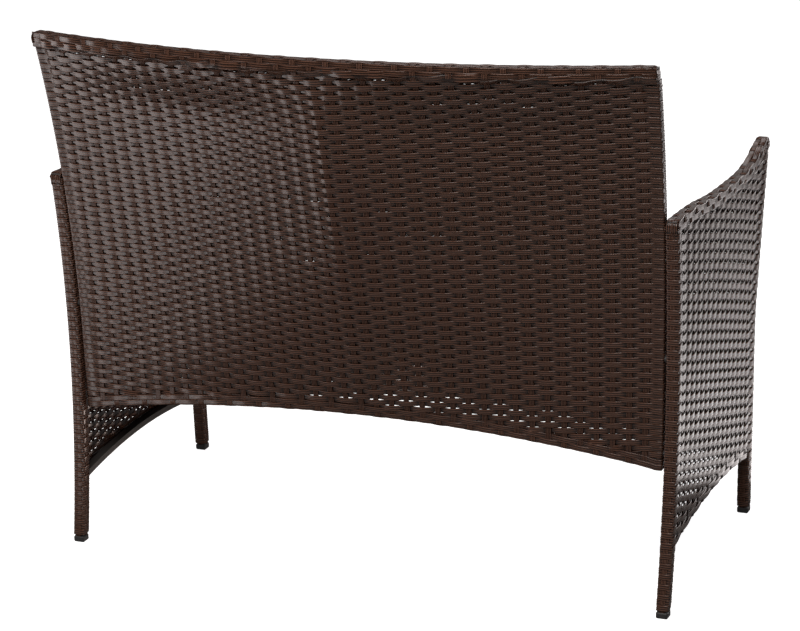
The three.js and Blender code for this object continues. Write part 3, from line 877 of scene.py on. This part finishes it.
def back_rows(upper, lower):
    """Rows of the back, from the top rail down. The row above the first one, and the rows
    after the upper ones, make the lower piece."""
    k = stations(-1, BACK_STAKES + 1, BACK_ENDS, BACK_ENDS)
    row = -1
    while True:
        z = back_row_height(row, k) + wobble(len(k), BACK_UNEVEN)
        share = back_surface(k, z)[:, 0] / back_half(z)
        arch = back_low(np.clip(share, -1, 1))
        if (z < BACK_BOTTOM).all():
            break
        low_room = z - arch - WRAP_PITCH + BACK_LOW_LAP
        room = np.minimum(low_room, BACK_WEAVE_TOP + BACK_TOP_LAP - z)
        target = upper if 0 <= row < UPPER_ROWS else lower
        for part in runs(k, room, shortest=4):
            z_part = np.interp(part, k, z)
            path, ups = surface_row(back_surface, part, z_part)
            tucked = smoothstep(*BACK_TUCK_ROOM, np.interp(part, k, room))
            offset = lerp(alternate(row) * back_wave(part), BACK_TUCK, tucked)
            spread = 1 + wobble(len(part), BACK_WIDTH_UNEVEN)
            for more, heights in BACK_SPREADS:
                spread = spread + more * smoothstep(*heights, z_part)
            low = smoothstep(*OPEN_RISES, z_part - np.interp(part, k, arch))
            spread = spread - OPEN_NARROWER * openness(part, OPEN_NARROWER_REACH) * low
            target.add(path, ups, WEFT, offset, spread=spread)
        row += 1


RAIL_ROWS = 6
ARCH_ROWS = 5
REAR_ROWS = 2
RAIL_TOP_ROWS = (2, 3)
FLAT_ENDS = 1.4


def back_edges(strands):
    """Strands along the top rail and along the arched lower edge, which the stakes wrap.
    Those on the rear face go on round the posts."""
    k = stations(-1, BACK_STAKES + 1, BACK_ENDS, BACK_ENDS)
    flat = k[(k > -FLAT_ENDS) & (k < BACK_STAKES + FLAT_ENDS)]
    for row in range(RAIL_ROWS):
        span = k if row < REAR_ROWS else flat
        v = BACK_RAIL_Z + (row - 0.5) * WRAP_PITCH
        back_edge_row(strands, span, v, row, row in RAIL_TOP_ROWS)
    for row in range(ARCH_ROWS):
        span = k if row < REAR_ROWS else flat
        beyond = np.clip(-span, 0, 1) + np.clip(span - BACK_STAKES, 0, 1)
        share = np.clip(1 - 2 * span / BACK_STAKES, -1, 1) * lerp(BACK_STAKE_SHARE, 1, beyond)
        back_edge_row(strands, span, back_low(share) - (row - 0.5) * WRAP_PITCH, row)


def back_edge_row(strands, span, v, row, over_ends=False):
    path, ups = surface_row(back_surface, span, v)
    edge = np.minimum(span, BACK_STAKES - span)
    offset = alternate(row) * WRAP_WAVE * np.cos(math.pi * span) * smoothstep(-1, 0, edge)
    if over_ends:
        path, ups, offset = with_rail_ends(path, ups, offset)
    strands.add(path, ups, WEFT, offset)


RAIL_END_GAP = 0.0004
RAIL_END_RUNS = np.array([0.0006, 0.0016])
RAIL_END_DROPS = np.array([0.004, 0.009])


def with_rail_ends(path, ups, offset):
    """Lengthens a strand on the top rail, down over both of its ends."""
    bend = END_ROUND
    half = back_half(BACK_HEIGHT) - RAIL_END_GAP
    keep = np.abs(path[:, 0]) < half - bend
    path, ups, offset = path[keep], ups[keep], offset[keep]
    arc_x = half - bend + bend * np.sin(QUARTER)
    x = join([arc_x, half - RAIL_END_RUNS])
    ends = []
    for way, end in ((1, path[0]), (-1, path[-1])):
        arc_z = end[2] - bend + bend * np.cos(QUARTER)
        z = join([arc_z, arc_z[-1] - RAIL_END_DROPS])
        ends.append(points(way * x, end[1], z))
    return lengthened(ends[0][::-1], path, ends[1], ups[:1], ups, ups[-1:], offset)


# Turns are counted in faces, down from the edge's middle or up from the rail's
UNDER_TURNS = np.array([2.3, 2.0, 1.62, 1.5, 1.38, 1.0, 0.62, 0.5, 0.38, 0.15])
OVER_TURNS = join([[-0.45, -0.3], fractions(0, 3)])
BACK_STAKE_STEPS = 34
BACK_STAKE_DROP = 0.010
# Painted shade of the back's stakes: darker in the panel, lighter where they wrap the rail and the
# lower edge
BACK_STAKE_SHADE = 0.6
BACK_WRAP_SHADE = 0.3


def back_stakes(strands):
    for k in range(BACK_STAKES + 1):
        arch = back_low(stake_share(k))
        under = arch - FACE_PITCH * UNDER_TURNS
        panel = np.linspace(arch, BACK_WEAVE_TOP - BACK_STAKE_DROP, BACK_STAKE_STEPS)
        over = BACK_RAIL_Z + FACE_PITCH * OVER_TURNS
        v = join([under, panel, over])
        depth = np.repeat([BACK_WRAP_SHADE, BACK_STAKE_SHADE, BACK_WRAP_SHADE],
                          [len(under), len(panel), len(over)])
        path, ups = surface_stake(back_surface, k, v)
        strands.add(path, ups, STAKE, depth=depth)


# The seat and the apron

CURL_RADIUS = 0.0035
CURL = CURL_RADIUS * math.pi / 2
SEAT_TOP_Z = SEAT_HEIGHT - SINK
APRON_Y = SEAT_FRONT_Y + SINK
SEAT_LENGTH = SEAT_REAR_Y - APRON_Y - CURL_RADIUS + CURL / 2
SEAT_SIDE_ROOM = 0.0006
SEAT_EDGE = (1 / BACK_STAKE_SHARE - 1) * BACK_STAKES / 2
SEAT_COUNTS = np.unique(join([[-SEAT_EDGE, BACK_STAKES, BACK_STAKES + SEAT_EDGE],
                              stations(0, BACK_STAKES, 0, 0)]))
SEAT_SPREAD = 1.13
SEAT_WAVE = 0.0009
SEAT_UNEVEN = 0.0002
EDGE_HALF = 0.006
EDGE_RADIUS = 0.002
EDGE_PITCH = 2 * (EDGE_HALF - EDGE_RADIUS) + EDGE_RADIUS * math.pi / 2
EDGE_WAVE = 0.0007
EDGE_ROWS = (-0.5 * ROW_PITCH, 0.5 * EDGE_PITCH, EDGE_PITCH)
APRON_ROWS = 34
APRON_TUCK_ROOM = (0.004, 0.0)
APRON_TUCK = -0.0010


def apron_low(share):
    """Height of the middle of the apron's wrapped lower edge."""
    return APRON_END + APRON_RISE * (1 - share**2) + EDGE_HALF - ARCH_LAP


def apron_v(z):
    return z - SEAT_TOP_Z + CURL_RADIUS - CURL / 2


def seat_surface(k, v):
    """Middle surface of the seat and the apron. v is the distance from the middle of
    the front curl: above zero on the seat, below zero down the apron."""
    k, v = np.broadcast_arrays(np.asarray(k, float), v)
    share = stake_share(k)
    turn = np.clip(v + CURL / 2, 0, CURL) / CURL_RADIUS
    y = APRON_Y + CURL_RADIUS * (1 - np.cos(turn)) + np.maximum(v - CURL / 2, 0)
    z = SEAT_TOP_Z - CURL_RADIUS * (1 - np.sin(turn)) + np.minimum(v + CURL / 2, 0)
    x = share * (side_inner_x(z) - FIT_GAP - SEAT_SIDE_ROOM)
    low = apron_low(np.clip(share, -1, 1))
    n, t = round_square(np.maximum(low - z, 0), half=EDGE_HALF, radius=EDGE_RADIUS)
    below = z < low
    y = np.where(below, APRON_Y + EDGE_HALF - n, y)
    z = np.where(below, low - t, z)
    return points(x, y, z)


def seat_rows(strands):
    k = SEAT_COUNTS
    count = int(SEAT_LENGTH / ROW_PITCH)
    pitch = SEAT_LENGTH / count
    for row in range(count):
        v = (row + 0.5) * pitch + wobble(len(k), SEAT_UNEVEN)
        path, ups = surface_row(seat_surface, k, v)
        offset = alternate(row) * SEAT_WAVE * over_under(k)
        strands.add(path, ups, WEFT, offset, spread=SEAT_SPREAD)


def apron_rows(strands):
    k = SEAT_COUNTS
    low = apron_low(stake_share(k))
    for row in range(APRON_ROWS):
        v = -(row + 0.5) * ROW_PITCH + wobble(len(k), SEAT_UNEVEN)
        z = SEAT_TOP_Z - CURL_RADIUS + np.minimum(v + CURL / 2, 0)
        room = z - low - ROW_PITCH
        for part in runs(k, room):
            path, ups = surface_row(seat_surface, part, np.interp(part, k, v))
            tucked = smoothstep(*APRON_TUCK_ROOM, np.interp(part, k, room))
            offset = lerp(-alternate(row) * SEAT_WAVE * over_under(part), APRON_TUCK, tucked)
            strands.add(path, ups, WEFT, offset, spread=SEAT_SPREAD)
    for row, drop in enumerate(EDGE_ROWS):
        path, ups = surface_row(seat_surface, k, apron_v(low - drop))
        strands.add(path, ups, WEFT, alternate(row) * EDGE_WAVE * np.cos(math.pi * k))


EDGE_TURNS = np.array([1.4, 1.0, 0.66, 0.5, 0.34, 0])
CURL_TURNS = np.array([-0.25, 0, 0.25, 0.5])
APRON_STEPS = 12
SEAT_STEPS = 18
CURL_REACH = 0.006
# Painted shade of the seat's stakes: lighter near the front curl, darker elsewhere
CURL_SHADE = 0.2
SEAT_STAKE_SHADE = 0.85


def seat_stakes(strands):
    """Stakes that run down the apron, round its edge, and back along the seat."""
    for k in range(BACK_STAKES + 1):
        low = apron_v(apron_low(stake_share(k)))
        edge = low - EDGE_PITCH * EDGE_TURNS
        apron = np.linspace(low, -CURL / 2, APRON_STEPS)[1:]
        seat = np.linspace(CURL / 2, SEAT_LENGTH, SEAT_STEPS)[1:]
        v = join([edge, apron, CURL_TURNS * CURL, seat])
        path, ups = surface_stake(seat_surface, k, v)
        depth = np.where(np.abs(v) < CURL_REACH, CURL_SHADE, SEAT_STAKE_SHADE)
        strands.add(path, ups, STAKE, depth=depth)


# Finishes


def new_material(name):
    material = bpy.data.materials.new(name)
    material.use_nodes = True
    tree = material.node_tree
    shader = tree.nodes["Principled BSDF"]
    return material, tree, shader


def node(tree, kind, **values):
    made = tree.nodes.new("ShaderNode" + kind)
    for key, value in values.items():
        if key in made.inputs:
            made.inputs[key].default_value = value
        else:
            setattr(made, key, value)
    return made


def maths(tree, operation, a, b=None, c=None):
    made = node(tree, "Math", operation=operation)
    for socket, value in zip(made.inputs, (a, b, c)):
        if value is None:
            continue
        if isinstance(value, (int, float)):
            socket.default_value = value
        else:
            tree.links.new(value, socket)
    return made.outputs[0]


def mix_colour(tree, factor, low, high):
    made = node(tree, "Mix", data_type="RGBA")
    for index, value in ((0, factor), (6, low), (7, high)):
        if isinstance(value, (tuple, float)):
            made.inputs[index].default_value = value
        else:
            tree.links.new(value, made.inputs[index])
    return made.outputs[2]


def add_noise(tree, **values):
    """A noise over the object's own space."""
    place = node(tree, "TexCoord")
    noise = node(tree, "TexNoise", **values)
    tree.links.new(place.outputs["Object"], noise.inputs["Vector"])
    return noise.outputs["Fac"]


def add_surface(tree, shader, colour, rough, height=None, strength=0.0):
    """Joins the colour, the roughness and the bump to the shader."""
    link = tree.links.new
    link(colour, shader.inputs["Base Color"])
    link(rough, shader.inputs["Roughness"])
    if height is not None:
        bump = node(tree, "Bump", Strength=strength, Distance=BUMP_DISTANCE)
        link(height, bump.inputs["Height"])
        link(bump.outputs[0], shader.inputs["Normal"])


BUMP_DISTANCE = 0.0002

# The streaks are stretched along a strand, across it, and from one strand to the next
STREAK_STRETCH = (22.0, 5.0, 91.0)
BROWN_SHARES = (0.8, 0.45, 0.5)
BROWN_LESS = 0.38
# How narrowly the painted highlight sits on the rib crests
RIB_HIGHLIGHT_POWER = 1.4
# How painted shade grows, and how far it goes towards the shade colour
PAINTED_SHADE_POWER = 1.4
PAINTED_SHADE_SHARE = 0.9
RATTAN_ROUGH = 0.12
RATTAN_ROUGH_MORE = 0.16
RATTAN_BUMP = 0.35
# Row colours: dark and light brown are the strand's own, the pale rib colour is painted highlight,
# and the colour after it is painted shade
ROW_LOOK = dict(
    dark=(0.004, 0.0018, 0.0012, 1), light=(0.015, 0.0068, 0.0042, 1),
    grey=(0.104, 0.048, 0.030, 1), painted_shade_colour=(0.004, 0.0022, 0.0017, 1), specular=0.38,
)
# Stake colours: the same strand painted darker, as painted shade where the stakes lie recessed
# between the rows, with a brighter painted highlight on their rib crests
SHADED_STAKE_LOOK = dict(
    dark=(0.002, 0.001, 0.0008, 1), light=(0.008, 0.0038, 0.0026, 1),
    grey=(0.150, 0.074, 0.050, 1), painted_shade_colour=(0.006, 0.0034, 0.0025, 1), specular=0.14,
)


def rattan_material(name, ribs, dark, light, grey, painted_shade_colour, specular):
    """Extruded plastic strand: brown, with painted highlight on its rib crests and painted shade
    in their valleys and where it lies low between strands, fine lines along it, satin.
    """
    material, tree, shader = new_material(name)
    link = tree.links.new
    mark = node(tree, "Attribute", attribute_name="strand")
    parts = node(tree, "SeparateXYZ")
    link(mark.outputs["Vector"], parts.inputs[0])
    stretched = node(tree, "CombineXYZ")
    for part, stretch, socket in zip(parts.outputs, STREAK_STRETCH, stretched.inputs):
        link(maths(tree, "MULTIPLY", part, stretch), socket)
    noise = node(tree, "TexNoise", Scale=1.0, Detail=3.0, Roughness=0.6)
    link(stretched.outputs[0], noise.inputs["Vector"])
    streak = noise.outputs["Fac"]
    blotch = add_noise(tree, Scale=9.0, Detail=2.0)
    across, shade = parts.outputs[1:]
    base = -BROWN_LESS
    for value, share in zip((streak, shade, blotch), BROWN_SHARES):
        base = maths(tree, "MULTIPLY_ADD", value, share, base)
    base.node.use_clamp = True
    brown = mix_colour(tree, base, dark, light)
    # Painted highlight and shade across a strand: the pale colour on each rib's crest, the brown
    # in the valleys
    rib = maths(tree, "ADD", maths(tree, "MULTIPLY", across, ribs * math.pi), ribs * math.pi)
    rib = maths(tree, "MULTIPLY_ADD", maths(tree, "COSINE", rib), -0.5, 0.5)
    rib_highlighted = mix_colour(tree, maths(tree, "POWER", rib, RIB_HIGHLIGHT_POWER), brown, grey)
    # Painted shade: the colour goes towards the dark shade colour where a strand lies low between
    # the others
    shade_attribute = node(tree, "Attribute", attribute_name="depth")
    painted_shade = maths(tree, "POWER", shade_attribute.outputs["Fac"], PAINTED_SHADE_POWER)
    colour = mix_colour(tree, maths(tree, "MULTIPLY", painted_shade, PAINTED_SHADE_SHARE), rib_highlighted, painted_shade_colour)
    rough = maths(tree, "MULTIPLY_ADD", streak, RATTAN_ROUGH_MORE, RATTAN_ROUGH)
    add_surface(tree, shader, colour, rough, streak, RATTAN_BUMP)
    shader.inputs["Specular IOR Level"].default_value = specular
    return material


# Dark powder coat, black moulded plastic that is faintly scuffed, and plated steel
FINISHES = {
    "steel_tube": dict(
        name="powder_coat", dark=(0.018, 0.016, 0.015, 1), light=(0.045, 0.041, 0.038, 1),
        cloud=dict(Scale=14.0, Detail=3.0), rough=(0.25, 0.35),
        grain=dict(Scale=900.0, Detail=2.0), bump=0.25,
    ),
    "foot_plastic": dict(
        name="moulded_black", dark=(0.008, 0.008, 0.009, 1), light=(0.03, 0.029, 0.028, 1),
        cloud=dict(Scale=60.0, Detail=5.0, Roughness=0.7), rough=(0.3, 0.38),
        grain=dict(Scale=420.0, Detail=4.0), bump=0.2,
    ),
    "fastener_zinc": dict(
        name="zinc_plate", dark=(0.38, 0.38, 0.39, 1), light=(0.58, 0.58, 0.57, 1),
        cloud=dict(Scale=700.0, Detail=3.0), rough=(0.25, 0.25), metallic=1.0,
    ),
}


def hard_material(name, dark, light, cloud, rough, grain=None, bump=0.0, metallic=0.0):
    """A finish whose colour and roughness follow one noise and whose bump another."""
    material, tree, shader = new_material(name)
    change = add_noise(tree, **cloud)
    colour = mix_colour(tree, change, dark, light)
    roughness = maths(tree, "MULTIPLY_ADD", change, *rough)
    height = add_noise(tree, **grain) if grain else None
    add_surface(tree, shader, colour, roughness, height, bump)
    shader.inputs["Metallic"].default_value = metallic
    return material


def finish_cad_nodes():
    looks = {slot: hard_material(**values) for slot, values in FINISHES.items()}
    for part in frame["record"]["subparts"]:
        if part["material_slot"] in looks:
            for slot in frame["nodes"][part["node"]].material_slots:
                slot.material = looks[part["material_slot"]]


# Weaving the sofa


def weave_sofa():
    rattan = rattan_material("rattan", STRAND_RIBS, **ROW_LOOK)
    shaded_rattan = rattan_material("rattan_stakes_painted_shade", STAKE_RIBS, **SHADED_STAKE_LOOK)
    for name, side in (("left", 1), ("right", -1)):
        rows, wound, stakes = Strands(), Strands(), Strands()
        side_rows(side, rows, wound)
        side_border(side, rows)
        arm_rows(side, wound)
        side_stakes(side, stakes)
        leg_strips(side, stakes)
        arm_turns(side, stakes)
        rows.build(f"{name}_side_rows", rattan, f"{name}_side_weave")
        wound.build(f"{name}_leg_and_arm_rows", rattan, f"{name}_frame_winding")
        stakes.build(f"{name}_stakes", shaded_rattan, f"{name}_side_weave", f"{name}_frame_winding")
    upper, lower, edges, stakes = Strands(), Strands(), Strands(), Strands()
    back_rows(upper, lower)
    back_edges(edges)
    back_stakes(stakes)
    upper.build("back_upper_rows", rattan, "back_weave")
    lower.build("back_lower_rows", rattan, "back_weave")
    edges.build("back_edge_rows", rattan, "back_winding")
    stakes.build("back_stakes", shaded_rattan, "back_weave", "back_winding")
    seat, apron, bars = Strands(), Strands(), Strands()
    seat_rows(seat)
    apron_rows(apron)
    seat_stakes(bars)
    seat.build("seat_rows", rattan, "seat_weave")
    apron.build("apron_rows", rattan, "apron_weave")
    bars.build("seat_and_apron_stakes", shaded_rattan, "seat_weave", "apron_weave")


# Studio

CAMERA_PLACE = (-1.6908, 4.0725, 1.7786)
CAMERA_YAW = 0.3941
CAMERA_PITCH = 0.3068
CAMERA_ROLL = -0.0304
CAMERA_LENS = 126.5
MAUVE = (1, 0.93, 0.92)
FLOOR_HALF = 20.0
FLOOR_DROP = 0.0004


def axes_matrix(side, up, back, place):
    rows = [[side[i], up[i], back[i], place[i]] for i in range(3)]
    return Matrix(rows + [[0, 0, 0, 1]])


def add_camera():
    cy, sy = math.cos(CAMERA_YAW), math.sin(CAMERA_YAW)
    cp, sp = math.cos(CAMERA_PITCH), math.sin(CAMERA_PITCH)
    cr, sr = math.cos(CAMERA_ROLL), math.sin(CAMERA_ROLL)
    ahead = np.array([sy * cp, -cy * cp, -sp])
    level = np.array([-cy, -sy, 0.0])
    upright = np.cross(level, ahead)
    right = cr * level + sr * upright
    up = -sr * level + cr * upright
    data = bpy.data.cameras.new("camera")
    data.lens = CAMERA_LENS
    data.sensor_width = 36
    data.sensor_fit = "HORIZONTAL"
    data.clip_end = 100
    camera = bpy.data.objects.new("camera", data)
    bpy.context.scene.collection.objects.link(camera)
    camera.matrix_world = axes_matrix(right, up, -ahead, CAMERA_PLACE)
    bpy.context.scene.camera = camera


def add_area(name, place, target, size, power, colour=MAUVE):
    data = bpy.data.lights.new(name, "AREA")
    data.shape = "RECTANGLE"
    data.size, data.size_y = size
    data.energy = power
    data.color = colour
    lamp = bpy.data.objects.new(name, data)
    lamp.visible_camera = False
    bpy.context.scene.collection.objects.link(lamp)
    place, target = np.array(place, float), np.array(target, float)
    back = unit(place - target)
    side = unit(np.cross([0, 0, 1.0], back))
    up = np.cross(back, side)
    lamp.matrix_world = axes_matrix(side, up, back, place)


def mix_shaders(tree, factor, low, high, result):
    mixed = node(tree, "MixShader")
    for socket, output in zip(mixed.inputs, (factor, low.outputs[0], high.outputs[0])):
        tree.links.new(output, socket)
    tree.links.new(mixed.outputs[0], result.inputs[0])


def add_world(scene):
    """White to the camera, and a weak light from all sides."""
    world = bpy.data.worlds.new("studio")
    scene.world = world
    world.use_nodes = True
    tree = world.node_tree
    tree.nodes.clear()
    out = node(tree, "OutputWorld")
    lit = node(tree, "Background", Color=(1, 1, 1, 1), Strength=0.12)
    seen = node(tree, "Background", Color=(1, 1, 1, 1), Strength=1.0)
    ray = node(tree, "LightPath")
    mix_shaders(tree, ray.outputs["Is Camera Ray"], lit, seen, out)


def add_floor(scene):
    """White to the camera, and a dull grey to every other ray."""
    mesh = bpy.data.meshes.new("floor")
    half = FLOOR_HALF
    corners = [(-half, -half, 0), (half, -half, 0), (half, half, 0), (-half, half, 0)]
    mesh.from_pydata(corners, [], [(0, 1, 2, 3)])
    floor = bpy.data.objects.new("floor", mesh)
    scene.collection.objects.link(floor)
    floor.location.z = -FLOOR_DROP
    material, tree, shader = new_material("floor_white")
    link = tree.links.new
    shader.inputs["Base Color"].default_value = (0.8, 0.8, 0.8, 1)
    shader.inputs["Roughness"].default_value = 0.9
    shader.inputs["Specular IOR Level"].default_value = 0.0
    glow = node(tree, "Emission", Color=(1, 1, 1, 1), Strength=0.92)
    ray = node(tree, "LightPath")
    added = node(tree, "AddShader")
    link(shader.outputs[0], added.inputs[0])
    link(glow.outputs[0], added.inputs[1])
    rays = maths(tree, "MAXIMUM", ray.outputs["Is Camera Ray"], ray.outputs["Is Transmission Ray"])
    dull = node(tree, "BsdfDiffuse", Color=(0.38, 0.38, 0.38, 1))
    mix_shaders(tree, rays, dull, added, tree.nodes["Material Output"])
    mesh.materials.append(material)


def add_lamps():
    middle = (0, 0, 0.45)
    add_area("left_window", (3.0, 1.0, 0.8), middle, (1.0, 1.5), 22)
    add_area("left_low", (1.9, 0.65, 0.03), (1.9, 0.651, 1.0), (1.5, 0.9), 11)
    add_area("left_floor", (0.95, 1.16, 0.02), (0.9505, 1.1607, 1.02), (0.28, 1.2), 3.6)
    add_area("rear_softbox", (-0.6, 2.4, 2.9), middle, (2.0, 2.0), 92, (1, 0.95, 0.91))
    add_area("right_front", (-1.6, -3.0, 0.7), middle, (1.5, 1.2), 22)
    add_area("right_floor", (-1.07, -1.15, 0.02), (-1.0704, -1.1509, 1.02), (0.5, 1.9), 6.1)
    add_area("under_seat", (0.05, -0.1, 0.03), (0.52, 0.0, 0.22), (0.25, 0.15), 1, (1, 0.82, 0.74))
    add_area("overhead", (0.45, 0.5, 2.8), middle, (1.2, 1.6), 14)
    add_area("front_top", (0.4, -1.7, 2.45), (-0.52, -0.25, 0.62), (1.0, 1.0), 8)
    add_area("front_fill", (0.8, -3.4, 1.8), middle, (2.2, 1.8), 4, (1, 1, 1))


def add_studio():
    scene = bpy.context.scene
    add_world(scene)
    add_floor(scene)
    add_lamps()
    scene.view_settings.view_transform = "Standard"


add_camera()
weave_sofa()
finish_cad_nodes()
add_studio()
